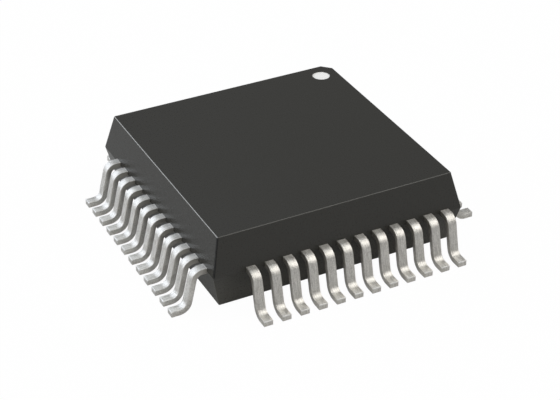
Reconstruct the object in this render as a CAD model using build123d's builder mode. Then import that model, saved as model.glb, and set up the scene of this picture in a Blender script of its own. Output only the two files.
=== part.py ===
"""Resolver-to-digital converter: a square moulded chip package with gull-wing leads on four sides.

Millimetres, +Z up. The origin is at the centre of the seating plane, where the feet stand.
Seen from above, lead 1 is next to the cut corner (-X, +Y) and the numbers run counter-clockwise.
The four sides are alike: the first one is modelled and the others are turned copies of it.
"""
from build123d import *

import os
from math import radians, tan

# Moulded body
body_width = 7.0          # square, measured at the parting line
body_height = 2.0
standoff = 0.075          # gap between the body and the seating plane
draft_angle = 13.0        # slope of all eight side faces
edge_bevel = 0.012        # narrow bevel around the top and bottom faces
corner_radius = 0.03      # rounding of the upright corners
index_corner_cut = 0.38   # leg of the cut at the pin 1 corner, at the parting line

# Rows of leads
sides = 4
lead_pitch = 0.50
lead_width = 0.24
lead_thickness = 0.145
row_margin = 0.70         # least distance from a body corner to a lead's middle, before the shift
row_offset = 0.24         # each row stands this far counter-clockwise of the middle of its side

# Gull-wing bends outside the body, lengths along the middle of the strip
shoulder_length = 0.30    # from the body to the corner of the upper bend
riser_lean = 13.0         # lean of the riser, outward going down
foot_length = 0.435       # from the corner of the lower bend to the tip
upper_bend_radius = 0.15  # on the inside of the bend
lower_bend_radius = 0.20

# Leadframe inside the body
finger_straight = 0.42    # the part of a lead that runs straight in before it fans
finger_tip_width = 0.14
pad_width = 3.30          # square die pad
pad_gap = 0.20            # between the die pad and the finger tips
pad_downset = 0.20        # the pad lies this far below the leads
tie_bar_width = 0.15
tie_bar_flat = 0.40       # level run at the outer end of a tie bar
tie_bar_ramp = 0.35       # length over which a tie bar climbs from the pad to the leads

# Chip and its joints
die_width = 2.60
die_thickness = 0.28
attach_thickness = 0.03
attach_margin = 0.08      # adhesive squeezed out around the die
wire_width = 0.025        # drawn square, where the real wire is round
wire_loop = 0.13          # rise of a wire above the die
wire_inset = 0.10         # from a die edge or a finger tip to its bond
stitch_length = 0.06      # wire pressed flat onto the finger

# Marks in the surface
mark_diameter = 0.50
mark_inset = 0.49         # from the edges of the top face to the middle of the mark
mark_recess = 0.045
mark_ink = 0.015
ejector_diameter = 0.80
ejector_depth = 0.04
ejector_inset = 0.85      # from the edges of the bottom face

# Worked out from the sizes above
body_half = body_width / 2
half_height = body_height / 2
parting_z = standoff + half_height
top_z = standoff + body_height
face_half = body_half - half_height * tan(radians(draft_angle))
leads_per_side = int((body_width - 2 * row_margin) / lead_pitch) + 1
half_thickness = lead_thickness / 2
bend_line = body_half - finger_straight
tip_line = pad_width / 2 + pad_gap
tip_pitch = 2 * tip_line / (leads_per_side + 1)
finger_top = parting_z + half_thickness
pad_z = parting_z - pad_downset
attach_z = pad_z + half_thickness
die_z = attach_z + attach_thickness
die_top = die_z + die_thickness
bond_line = die_width / 2 - wire_inset
bond_pitch = 2 * bond_line / (leads_per_side + 1)


def along_row(index, pitch, shift=0.0):
    """Distance of a lead, finger tip or bond from the middle of its side."""
    return (index - (leads_per_side - 1) / 2) * pitch + shift


def row_plane(height):
    """Level plane of the first side: x points outward (-X), y runs counter-clockwise (-Y)."""
    return Plane(origin=(0, 0, height), x_dir=(-1, 0, 0), z_dir=(0, 0, 1))


def section_plane(place):
    """Upright plane across the first row at a lead: x points outward, y points up."""
    return Plane(origin=(0, -place, 0), x_dir=(-1, 0, 0), z_dir=(0, 1, 0))


def build_lead(index):
    """One lead of the first side: gull wing outside, straight root and fanned finger inside."""
    place = along_row(index, lead_pitch, row_offset)
    tip_place = along_row(index, tip_pitch)
    upper_corner = body_half + shoulder_length
    lower_corner = upper_corner + (parting_z - half_thickness) * tan(radians(riser_lean))
    with BuildPart() as lead:
        with BuildSketch(section_plane(place)):
            with BuildLine() as middle_line:
                FilletPolyline(
                    (bend_line, parting_z),
                    (upper_corner, parting_z),
                    (lower_corner, half_thickness),
                    (lower_corner + foot_length, half_thickness),
                    radius=(upper_bend_radius + half_thickness, lower_bend_radius + half_thickness),
                )
            trace(middle_line.edges(), line_width=lead_thickness)
        extrude(amount=lead_width / 2, both=True)
        with BuildSketch(row_plane(parting_z)):
            with BuildLine():
                Polyline(
                    (bend_line, place - lead_width / 2),
                    (bend_line, place + lead_width / 2),
                    (tip_line, tip_place + finger_tip_width / 2),
                    (tip_line, tip_place - finger_tip_width / 2),
                    close=True,
                )
            make_face()
        extrude(amount=half_thickness, both=True)
    return lead


def finger_middle(index, distance):
    """Where the middle of a finger is along the row, at a distance from the package's centre."""
    place = along_row(index, lead_pitch, row_offset)
    tip_place = along_row(index, tip_pitch)
    share = (distance - tip_line) / (bend_line - tip_line)
    return tip_place + (place - tip_place) * share


def build_wire(index):
    """One bond wire of the first side: up from the die, down to its finger and pressed along it."""
    stitch_line = tip_line + wire_inset
    start = Vector(bond_line, along_row(index, bond_pitch), die_top)
    landing = Vector(stitch_line, finger_middle(index, stitch_line), finger_top + wire_width / 2)
    start = row_plane(0).from_local_coords(start)
    landing = row_plane(0).from_local_coords(landing)
    heading = Vector(landing.X - start.X, landing.Y - start.Y, 0).normalized()
    with BuildPart() as wire:
        with BuildLine() as route:
            Polyline(
                start,
                start + Vector(0, 0, wire_loop),
                landing,
                landing + heading * stitch_length,
            )
        with BuildSketch(Plane(origin=start, x_dir=heading, z_dir=(0, 0, 1))):
            Rectangle(wire_width, wire_width)
        sweep(path=route.wires()[0], transition=Transition.RIGHT)
    return wire


# Leads, in the order of their numbers
first_row = [build_lead(index) for index in range(leads_per_side)]
leads = []
for side in range(sides):
    for master in first_row:
        with BuildPart() as lead:
            add(master.part, rotation=(0, 0, 90 * side))
        lead.part.label = f"lead_{len(leads) + 1:02d}"
        leads.append(lead.part)

# Die pad, set below the leads on four tie bars that rise between the rows
last_lead = along_row(leads_per_side - 1, lead_pitch, row_offset)
next_lead = -along_row(0, lead_pitch, row_offset)
pad_corner = Vector(pad_width / 2, pad_width / 2, 0)
tie_bar_end = Vector((bend_line + next_lead) / 2, (last_lead + bend_line) / 2, 0)

with BuildPart() as tie_bar:
    bar = row_plane(0).from_local_coords(tie_bar_end) - row_plane(0).from_local_coords(pad_corner)
    ramp_end = bar.length - tie_bar_flat
    upright = Plane(
        origin=row_plane(0).from_local_coords(pad_corner),
        x_dir=bar,
        z_dir=bar.cross(Vector(0, 0, 1)),
    )
    with BuildSketch(upright):
        with BuildLine() as bar_line:
            FilletPolyline(
                (-tie_bar_width, pad_z),
                (ramp_end - tie_bar_ramp, pad_z),
                (ramp_end, parting_z),
                (bar.length, parting_z),
                radius=lead_thickness,
            )
        trace(bar_line.edges(), line_width=lead_thickness)
    extrude(amount=tie_bar_width / 2, both=True)

with BuildPart() as die_pad:
    with BuildSketch(Plane.XY.offset(pad_z)):
        Rectangle(pad_width, pad_width)
    extrude(amount=half_thickness, both=True)
    for side in range(sides):
        add(tie_bar.part, rotation=(0, 0, 90 * side))
die_pad.part.label = "die_pad"

# Adhesive under the chip, squeezed out into a low wedge around it
with BuildPart() as die_attach:
    with BuildSketch(Plane.XY.offset(attach_z)):
        Rectangle(die_width + 2 * attach_margin, die_width + 2 * attach_margin)
    with BuildSketch(Plane.XY.offset(die_z)):
        Rectangle(die_width, die_width)
    loft()
die_attach.part.label = "die_attach"

# The chip itself
with BuildPart() as die:
    with BuildSketch(Plane.XY.offset(die_z)):
        Rectangle(die_width, die_width)
    extrude(amount=die_thickness)
die.part.label = "die"

# Bond wires, one to each finger
first_wires = [build_wire(index).part for index in range(leads_per_side)]
with BuildPart() as bond_wires:
    add([wire.rotate(Axis.Z, 90 * side) for side in range(sides) for wire in first_wires])
bond_wires.part.label = "bond_wires"

# Body: two drafted halves meet at the parting line, moulded around everything above
with BuildPart() as upper_half:
    with BuildSketch(Plane.XY.offset(parting_z)) as outline:
        Rectangle(body_width, body_width)
        chamfer(outline.vertices().sort_by(Axis((0, 0, 0), (-1, 1, 0)))[-1], index_corner_cut)
    extrude(amount=half_height, taper=draft_angle)
    fillet(upper_half.edges().filter_by(Plane.XY, reverse=True), corner_radius)
    chamfer(upper_half.faces().sort_by(Axis.Z)[-1].edges(), edge_bevel)

with BuildPart() as mould_body:
    add(upper_half.part)
    mirror(about=Plane.XY.offset(parting_z))
    mark_place = face_half - mark_inset
    with BuildSketch(Plane.XY.offset(top_z)):
        with Locations((-mark_place, mark_place)):
            Circle(mark_diameter / 2)
    extrude(amount=-mark_recess, mode=Mode.SUBTRACT)
    ejector_place = face_half - ejector_inset
    with BuildSketch(Plane.XY.offset(standoff)):
        with Locations((-ejector_place, -ejector_place), (ejector_place, ejector_place)):
            Circle(ejector_diameter / 2)
    extrude(amount=ejector_depth, mode=Mode.SUBTRACT)
    add([*leads, die_pad.part, die_attach.part, die.part, bond_wires.part], mode=Mode.SUBTRACT)
mould_body.part.label = "mould_body"

# White ink in the recess at pin 1
with BuildPart() as pin_1_mark:
    with BuildSketch(Plane.XY.offset(top_z - mark_recess)):
        with Locations((-mark_place, mark_place)):
            Circle(mark_diameter / 2)
    extrude(amount=mark_ink)
pin_1_mark.part.label = "pin_1_mark"

pieces = [mould_body.part, *leads, die_pad.part, die_attach.part, die.part, bond_wires.part]
pieces.append(pin_1_mark.part)
os.makedirs("parts", exist_ok=True)
for piece in pieces:
    export_step(piece, f"parts/{piece.label}.step")
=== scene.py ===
"""Looks of the square chip package: mould compound, tinned leads and a white ink dot in a pale studio."""
import math

import bpy
from mathutils import Matrix, Vector


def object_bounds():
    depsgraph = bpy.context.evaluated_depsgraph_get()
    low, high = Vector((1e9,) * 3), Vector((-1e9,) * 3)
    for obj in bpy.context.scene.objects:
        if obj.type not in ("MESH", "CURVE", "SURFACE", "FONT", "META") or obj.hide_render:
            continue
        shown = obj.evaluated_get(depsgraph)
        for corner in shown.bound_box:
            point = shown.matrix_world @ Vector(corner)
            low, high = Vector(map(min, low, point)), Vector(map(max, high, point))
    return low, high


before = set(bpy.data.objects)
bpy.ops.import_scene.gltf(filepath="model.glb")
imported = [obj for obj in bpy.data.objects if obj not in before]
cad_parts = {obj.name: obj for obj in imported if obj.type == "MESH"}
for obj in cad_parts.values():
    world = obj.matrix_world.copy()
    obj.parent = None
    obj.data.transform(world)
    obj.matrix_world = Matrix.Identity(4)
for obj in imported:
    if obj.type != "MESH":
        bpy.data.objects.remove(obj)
cad_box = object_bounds()

MM = 0.001

# Places on the solids that the materials follow
TIP_REACH = cad_box[1][0]
STRIP_THICKNESS = 0.145 * MM
PARTING_HEIGHT = 1.075 * MM
BODY_HALF = 3.5 * MM
DRAFT_SLOPE = math.tan(math.radians(13))

# Camera, fitted to the photograph: it looks mostly at the +X side, from 33 degrees up
CAMERA_AZIMUTH = 63.0
CAMERA_ELEVATION = 32.72
CAMERA_DISTANCE = 42.90 * MM
CAMERA_RIGHT = 0.061 * MM
CAMERA_UP = 0.267 * MM
LENS_MM = 102.94
SENSOR_MM = 36.0
CLIP_START = 1 * MM
CLIP_END = 10.0

# Softboxes: azimuth and elevation, width in degrees as seen from the object, brightness, colour
LAMP_DISTANCE = 400 * MM
LAMPS = {
    "left": (-54, 18, 60, 1.68, (0.83, 0.89, 1.0)),
    "front": (5, 30, 44, 0.80, (1.0, 1.0, 0.90)),
    "back_left": (-88, 60, 44, 0.60, (0.88, 0.95, 1.0)),
    "overhead": (146, 55, 48, 2.15, (1.0, 0.98, 0.94)),
}

# Floor and surround: how white the camera sees them, and how bright they are mirrored or on the object
FLOOR_HALF = 900 * MM
FLOOR_COLOUR = (0.92, 0.92, 0.92)
FLOOR_ROUGHNESS = 0.9
FLOOR_WHITE = 0.98
FLOOR_MIRRORED = 0.50
FLOOR_GLOW_MIRRORED = 0.28
SKY_ON_OBJECT = 0.23
SKY_MIRRORED = 0.23

# Range of a noise texture in which nearly all of its values lie
NOISE_LOW, NOISE_HIGH = 0.35, 0.65

# Mould compound, with the fine grain of a spark-eroded mould
COMPOUND_COLOURS = (0.0319, 0.0311, 0.0272), (0.0329, 0.0321, 0.0282)
COMPOUND_ROUGHNESS = 0.27, 0.30
COMPOUND_SPECULAR = 0.40
CLOUD_SIZE = 0.9 * MM
MOULD_GRAIN_SIZE = 0.035 * MM
MOULD_GRAIN_DEPTH = 0.0015 * MM
MOULD_GRAIN_STRENGTH = 0.1

# Painted light from the floor on the lower half of the body, which gets a little lighter towards the bottom
PAINTED_FLOOR_LIGHT_COLOUR = (0.064, 0.062, 0.053)
LIGHTER_FROM = 1.15 * MM
LIGHTEST_FROM = 0.30 * MM

# Painted shade: a dark strip along the upright edge between +X and -Y: its width on each face, and where it
# is full
PAINTED_EDGE_SHADE_COLOUR = (0.002, 0.002, 0.002)
EDGE_ON_X_FACE = 0.035 * MM
EDGE_ON_Y_FACE = 0.065 * MM
EDGE_FULL_SHARE = 0.8

# Painted highlight on the bevels of the body: the slopes that count as bevel, where normals turn to -Y, the
# share on the other sides, and how patchy the highlight is
BEVEL_HIGHLIGHT_COLOUR = (0.46, 0.46, 0.45)
BEVEL_OFF_SIDE = 0.30, 0.45
BEVEL_OFF_TOP = 0.97, 0.90
BEVEL_HIGHLIGHT_SIDE = -0.25, -0.50
BEVEL_HIGHLIGHT_LEAST = 0.10
BEVEL_HIGHLIGHT_PATCHES = 0.75, 1.0

# Tin on the leads, brushed along the strip
TIN_COLOURS = (0.56, 0.543, 0.508), (0.94, 0.923, 0.885)
TIN_ROUGHNESS = 0.39, 0.55
TIN_GRAIN_SIZE = 0.030 * MM
TIN_GRAIN_DEPTH = 0.004 * MM
BRUSH_WIDTH = 0.026 * MM
BRUSH_STRETCH = 10

# Painted shade on the cut sides of the strips, which get darker towards the body
CUT_SIDE_SHADE_COLOUR = (0.55, 0.53, 0.49)
CUT_SIDE_NORMAL = 0.80, 0.95
SIDE_SHADE_FROM = 0.75 * MM
SIDE_SHADE_FULL_FROM = 1.05 * MM

# Painted highlight along the top of the cut tips
TIP_HIGHLIGHT_COLOUR = (0.97, 0.96, 0.94)
TIP_HIGHLIGHT_WIDTH = 0.035 * MM

# White ink
INK_COLOURS = (0.97, 0.97, 0.955), (0.99, 0.99, 0.975)
INK_ROUGHNESS = 0.6
INK_GRAIN_SIZE = 0.04 * MM

# Metals that only show inside the package: name, dark and light colour, roughness
INNER_GRAIN_SIZE = 0.05 * MM
INNER_METALS = {
    "die_pad": ("copper_strip", (0.52, 0.24, 0.13), (0.60, 0.30, 0.17), 0.35),
    "bond_wires": ("gold_wire", (0.80, 0.50, 0.14), (0.90, 0.60, 0.20), 0.25),
    "die": ("silicon", (0.10, 0.10, 0.13), (0.15, 0.16, 0.20), 0.15),
    "die_attach": ("silver_epoxy", (0.45, 0.45, 0.45), (0.60, 0.60, 0.60), 0.5),
}

# Rounding of the stamped edges of the leads, after their flat facets are merged
LEAD_EDGE = 0.004 * MM
EDGE_SEGMENTS = 2
EDGE_ANGLE = math.radians(40)
FLAT_ANGLE = math.radians(1)
WELD_DISTANCE = 0.0001 * MM


def directions(azimuth, elevation):
    """Right, up and back of a camera that looks at the origin from an azimuth and an elevation."""
    a, e = math.radians(azimuth), math.radians(elevation)
    back = Vector((math.sin(a) * math.cos(e), -math.cos(a) * math.cos(e), math.sin(e)))
    right = Vector((0, 0, 1)).cross(back).normalized()
    return right, back.cross(right), back


def aimed(place, right, up, back):
    """A matrix that puts a camera or lamp at a place, looking against back."""
    return Matrix.Translation(place) @ Matrix((right, up, back)).transposed().to_4x4()


def make_camera():
    right, up, back = directions(CAMERA_AZIMUTH, CAMERA_ELEVATION)
    data = bpy.data.cameras.new("camera")
    data.sensor_width = SENSOR_MM
    data.lens = LENS_MM
    data.clip_start = CLIP_START
    data.clip_end = CLIP_END
    camera = bpy.data.objects.new("camera", data)
    place = back * CAMERA_DISTANCE + right * CAMERA_RIGHT + up * CAMERA_UP
    camera.matrix_world = aimed(place, right, up, back)
    bpy.context.collection.objects.link(camera)
    bpy.context.scene.camera = camera


def make_softbox(name, azimuth, elevation, spread, brightness, colour):
    """A square softbox that looks spread degrees wide from the object, brightness times white."""
    right, up, back = directions(azimuth, elevation)
    data = bpy.data.lights.new(name, "AREA")
    data.shape = "SQUARE"
    data.size = 2 * LAMP_DISTANCE * math.tan(math.radians(spread / 2))
    data.energy = brightness * math.pi * data.size**2
    data.color = colour
    lamp = bpy.data.objects.new(name, data)
    lamp.matrix_world = aimed(back * LAMP_DISTANCE, right, up, back)
    bpy.context.collection.objects.link(lamp)


class Shader:
    """A node material with one Principled shader, and short ways to add and link nodes."""

    def __init__(self, name):
        self.material = bpy.data.materials.new(name)
        self.material.use_nodes = True
        self.tree = self.material.node_tree
        self.main = self.tree.nodes["Principled BSDF"]

    def node(self, kind, values=None, **settings):
        made = self.tree.nodes.new(kind)
        for key, value in settings.items():
            setattr(made, key, value)
        for socket, value in (values or {}).items():
            made.inputs[socket].default_value = value
        return made

    def link(self, source, output, target, socket):
        self.tree.links.new(source.outputs[output], target.inputs[socket])

    def set(self, **values):
        """Sets constants of the Principled shader; an underscore in a name stands for a space."""
        for socket, value in values.items():
            self.main.inputs[socket.replace("_", " ")].default_value = value

    def noise(self, size, detail=3.0, stretch=(1, 1, 1)):
        """Noise in object space whose blobs are about size across, stretched along the axes."""
        place = self.node("ShaderNodeTexCoord")
        scale = self.node("ShaderNodeMapping", {"Scale": [1 / (size * s) for s in stretch]})
        noise = self.node("ShaderNodeTexNoise", {"Scale": 1.0, "Detail": detail})
        self.link(place, "Object", scale, "Vector")
        self.link(scale, "Vector", noise, "Vector")
        return noise

    def ramp(self, source, output, start, end, low=0.0, high=1.0):
        """A value that goes from low to high while another goes from start to end."""
        made = self.node("ShaderNodeMapRange", {1: start, 2: end, 3: low, 4: high})
        self.link(source, output, made, "Value")
        return made

    def spread(self, noise, low, high):
        """Maps a noise texture to low..high."""
        return self.ramp(noise, "Fac", NOISE_LOW, NOISE_HIGH, low, high)

    def tint(self, source, output, dark, light):
        """A colour between dark and light, following a factor."""
        mix = self.node("ShaderNodeMix", data_type="RGBA")
        mix.inputs["A"].default_value = (*dark, 1)
        mix.inputs["B"].default_value = (*light, 1)
        self.link(source, output, mix, "Factor")
        return mix

    def blend(self, factor, source, colour):
        """The colour of a mix node, mixed towards a fixed colour by a factor."""
        mix = self.node("ShaderNodeMix", data_type="RGBA")
        mix.inputs["B"].default_value = (*colour, 1)
        self.link(factor, 0, mix, "Factor")
        self.link(source, "Result", mix, "A")
        return mix

    def combine(self, operation, first, second=0.0):
        """A Math node on two values, each a number, a node or a node's named output."""
        made = self.node("ShaderNodeMath", operation=operation)
        for socket, value in enumerate((first, second)):
            if isinstance(value, (int, float)):
                made.inputs[socket].default_value = value
            elif isinstance(value, tuple):
                self.link(*value, made, socket)
            else:
                self.link(value, 0, made, socket)
        return made

    def split(self, coordinate):
        """The three parts of a texture coordinate."""
        place = self.node("ShaderNodeTexCoord")
        parts = self.node("ShaderNodeSeparateXYZ")
        self.link(place, coordinate, parts, "Vector")
        return parts

    def painted_bevel_highlight(self, grain):
        """Painted highlight: 1 on the bevel between top and -Y side, BEVEL_HIGHLIGHT_LEAST on the other
        bevels, 0 on the faces.
        """
        normal = self.split("Normal")
        upward = self.ramp(normal, "Z", *BEVEL_OFF_SIDE)
        tilted = self.ramp(normal, "Z", *BEVEL_OFF_TOP)
        side = self.ramp(normal, "Y", *BEVEL_HIGHLIGHT_SIDE, low=BEVEL_HIGHLIGHT_LEAST)
        patchy = self.spread(grain, *BEVEL_HIGHLIGHT_PATCHES)
        bevel = self.combine("MULTIPLY", upward, tilted)
        return self.combine("MULTIPLY", self.combine("MULTIPLY", bevel, side), patchy)

    def painted_edge_shade(self):
        """Painted shade: 1 in a narrow strip along the upright edge between +X and -Y, above the parting
        line.
        """
        point = self.split("Object")
        above = self.combine("SUBTRACT", (point, "Z"), PARTING_HEIGHT)
        drop = self.combine("MULTIPLY", above, DRAFT_SLOPE)
        reach_x = self.combine("ADD", (point, "X"), drop)
        reach_y = self.combine("SUBTRACT", drop, (point, "Y"))
        near_x, near_y = (
            self.ramp(reach, 0, BODY_HALF - width, BODY_HALF - EDGE_FULL_SHARE * width)
            for reach, width in ((reach_x, EDGE_ON_Y_FACE), (reach_y, EDGE_ON_X_FACE))
        )
        upper = self.ramp(point, "Z", PARTING_HEIGHT, PARTING_HEIGHT + EDGE_ON_X_FACE)
        return self.combine("MULTIPLY", self.combine("MULTIPLY", near_x, near_y), upper)

    def painted_floor_light(self):
        """Painted light from the floor: 0 above the parting line, and up to 1 near the bottom, where the
        compound is painted a little lighter.
        """
        return self.ramp(self.split("Object"), "Z", LIGHTER_FROM, LIGHTEST_FROM)

    def painted_side_shade(self, across):
        """Painted shade: 1 on the cut sides of a strip where it leaves the body, 0 on its faces and its
        foot.
        """
        sideways = self.combine("ABSOLUTE", (self.split("Normal"), across))
        side = self.ramp(sideways, 0, *CUT_SIDE_NORMAL)
        high = self.ramp(self.split("Object"), "Z", SIDE_SHADE_FROM, SIDE_SHADE_FULL_FROM)
        return self.combine("MULTIPLY", side, high)

    def painted_tip_highlight(self, along):
        """Painted highlight: 1 in a narrow band on both sides of the upper edge of the cut tips."""
        point = self.split("Object")
        reach = self.combine("ABSOLUTE", (point, along))
        outer = self.ramp(reach, 0, TIP_REACH - TIP_HIGHLIGHT_WIDTH, TIP_REACH - TIP_HIGHLIGHT_WIDTH / 2)
        upper = self.ramp(point, "Z", STRIP_THICKNESS - TIP_HIGHLIGHT_WIDTH, STRIP_THICKNESS - TIP_HIGHLIGHT_WIDTH / 2)
        return self.combine("MULTIPLY", outer, upper)

    def bump(self, source, output, depth, strength=1.0):
        bump = self.node("ShaderNodeBump", {"Strength": strength, "Distance": depth})
        self.link(source, output, bump, "Height")
        self.link(bump, "Normal", self.main, "Normal")


def mould_compound():
    """Charcoal epoxy compound, satin, with shades of the mould, a painted highlight on the bevels, a
    painted shade strip along one upright edge and painted light from the floor on the lower half.
    """
    shader = Shader("mould_compound")
    clouds = shader.noise(CLOUD_SIZE, detail=2.0)
    grain = shader.noise(MOULD_GRAIN_SIZE, detail=4.0)
    colour = shader.tint(clouds, "Fac", *COMPOUND_COLOURS)
    floor_lit = shader.blend(shader.painted_floor_light(), colour, PAINTED_FLOOR_LIGHT_COLOUR)
    shaded = shader.blend(shader.painted_edge_shade(), floor_lit, PAINTED_EDGE_SHADE_COLOUR)
    highlighted = shader.blend(shader.painted_bevel_highlight(grain), shaded, BEVEL_HIGHLIGHT_COLOUR)
    shader.link(highlighted, "Result", shader.main, "Base Color")
    shader.link(shader.spread(grain, *COMPOUND_ROUGHNESS), "Result", shader.main, "Roughness")
    shader.bump(grain, "Fac", MOULD_GRAIN_DEPTH, MOULD_GRAIN_STRENGTH)
    shader.set(Specular_IOR_Level=COMPOUND_SPECULAR)
    return shader.material


def tinned_lead(name, along, across):
    """Matt tin on a stamped copper strip that runs along one axis and is cut across the other, with painted
    shade on its cut sides near the body and a painted highlight along its tips.
    """
    shader = Shader(name)
    grain = shader.noise(TIN_GRAIN_SIZE)
    stretch = [1 if axis == across else BRUSH_STRETCH for axis in "XYZ"]
    brush = shader.noise(BRUSH_WIDTH, detail=2.0, stretch=stretch)
    mixed = shader.combine("ADD", shader.spread(grain, 0.0, 0.5), shader.spread(brush, 0.0, 0.5))
    colour = shader.tint(mixed, 0, *TIN_COLOURS)
    side_shaded = shader.blend(shader.painted_side_shade(across), colour, CUT_SIDE_SHADE_COLOUR)
    bright = shader.blend(shader.painted_tip_highlight(along), side_shaded, TIP_HIGHLIGHT_COLOUR)
    shader.link(bright, "Result", shader.main, "Base Color")
    shader.link(shader.ramp(mixed, 0, 0.0, 1.0, *TIN_ROUGHNESS), "Result", shader.main, "Roughness")
    shader.bump(mixed, 0, TIN_GRAIN_DEPTH)
    shader.set(Metallic=1.0)
    return shader.material


def white_ink():
    shader = Shader("white_ink")
    colour = shader.tint(shader.noise(INK_GRAIN_SIZE), "Fac", *INK_COLOURS)
    shader.link(colour, "Result", shader.main, "Base Color")
    shader.set(Roughness=INK_ROUGHNESS)
    return shader.material


def bare_metal(name, dark, light, roughness):
    """Metal that only shows inside the package."""
    shader = Shader(name)
    colour = shader.tint(shader.noise(INNER_GRAIN_SIZE), "Fac", dark, light)
    shader.link(colour, "Result", shader.main, "Base Color")
    shader.set(Metallic=1.0, Roughness=roughness)
    return shader.material


def dress(nodes, material):
    for name in nodes:
        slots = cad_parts[name].data.materials
        slots.clear()
        slots.append(material)


def soften(nodes, width):
    """Rounds the sharp edges of CAD nodes, without touching their own meshes."""
    for name in nodes:
        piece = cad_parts[name]
        weld = piece.modifiers.new("weld", "WELD")
        weld.merge_threshold = WELD_DISTANCE
        planar = piece.modifiers.new("planar", "DECIMATE")
        planar.decimate_type = "DISSOLVE"
        planar.angle_limit = FLAT_ANGLE
        bevel = piece.modifiers.new("bevel", "BEVEL")
        bevel.width = width
        bevel.segments = EDGE_SEGMENTS
        bevel.limit_method = "ANGLE"
        bevel.angle_limit = EDGE_ANGLE
        normals = piece.modifiers.new("normals", "WEIGHTED_NORMAL")
        normals.keep_sharp = False


def seen_share(tree, seen, mirrored):
    """Adds nodes that give seen on camera rays, mirrored on glossy and transmission rays, else 0."""
    path = tree.nodes.new("ShaderNodeLightPath")
    shares = {"Is Camera Ray": seen, "Is Glossy Ray": mirrored, "Is Transmission Ray": mirrored}
    total = None
    for ray, share in shares.items():
        step = tree.nodes.new("ShaderNodeMath")
        step.operation = "MULTIPLY_ADD"
        step.use_clamp = True
        step.inputs[1].default_value = share
        step.inputs[2].default_value = 0.0
        tree.links.new(path.outputs[ray], step.inputs[0])
        if total:
            tree.links.new(total.outputs[0], step.inputs[2])
        total = step
    return total


def make_floor():
    """A floor that looks white and keeps a soft share of the object's shadow."""
    bpy.ops.mesh.primitive_plane_add(size=2 * FLOOR_HALF)
    floor = bpy.context.object
    floor.name = "floor"
    shader = Shader("floor")
    shader.set(Base_Color=(*FLOOR_COLOUR, 1), Roughness=FLOOR_ROUGHNESS, Specular_IOR_Level=0.0)
    white = shader.node("ShaderNodeEmission", {"Color": (1, 1, 1, 1)})
    shader.link(seen_share(shader.tree, 1.0, FLOOR_GLOW_MIRRORED), 0, white, "Strength")
    blend = shader.node("ShaderNodeMixShader")
    shader.link(seen_share(shader.tree, FLOOR_WHITE, FLOOR_MIRRORED), 0, blend, 0)
    shader.link(shader.main, 0, blend, 1)
    shader.link(white, 0, blend, 2)
    shader.link(blend, 0, shader.tree.nodes["Material Output"], "Surface")
    floor.data.materials.append(shader.material)


def make_world():
    """A white surround, which lights the object more softly than it looks."""
    world = bpy.data.worlds.new("studio")
    world.use_nodes = True
    tree = world.node_tree
    background = tree.nodes["Background"]
    strength = tree.nodes.new("ShaderNodeMath")
    strength.operation = "MAXIMUM"
    strength.inputs[1].default_value = SKY_ON_OBJECT
    background.inputs["Color"].default_value = (1, 1, 1, 1)
    tree.links.new(seen_share(tree, 1.0, SKY_MIRRORED).outputs[0], strength.inputs[0])
    tree.links.new(strength.outputs[0], background.inputs["Strength"])
    bpy.context.scene.world = world


leads = sorted(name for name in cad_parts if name.startswith("lead_"))
row_length = len(leads) // 4

make_camera()
make_world()
make_floor()
for name, settings in LAMPS.items():
    make_softbox(name, *settings)

dress(["mould_body"], mould_compound())
tins = [tinned_lead("tin_on_x_rows", "X", "Y"), tinned_lead("tin_on_y_rows", "Y", "X")]
for side in range(4):
    dress(leads[side * row_length:(side + 1) * row_length], tins[side % 2])
dress(["pin_1_mark"], white_ink())
for node, metal in INNER_METALS.items():
    dress([node], bare_metal(*metal))
soften(leads, LEAD_EDGE)

bpy.context.scene.view_settings.view_transform = "Standard"
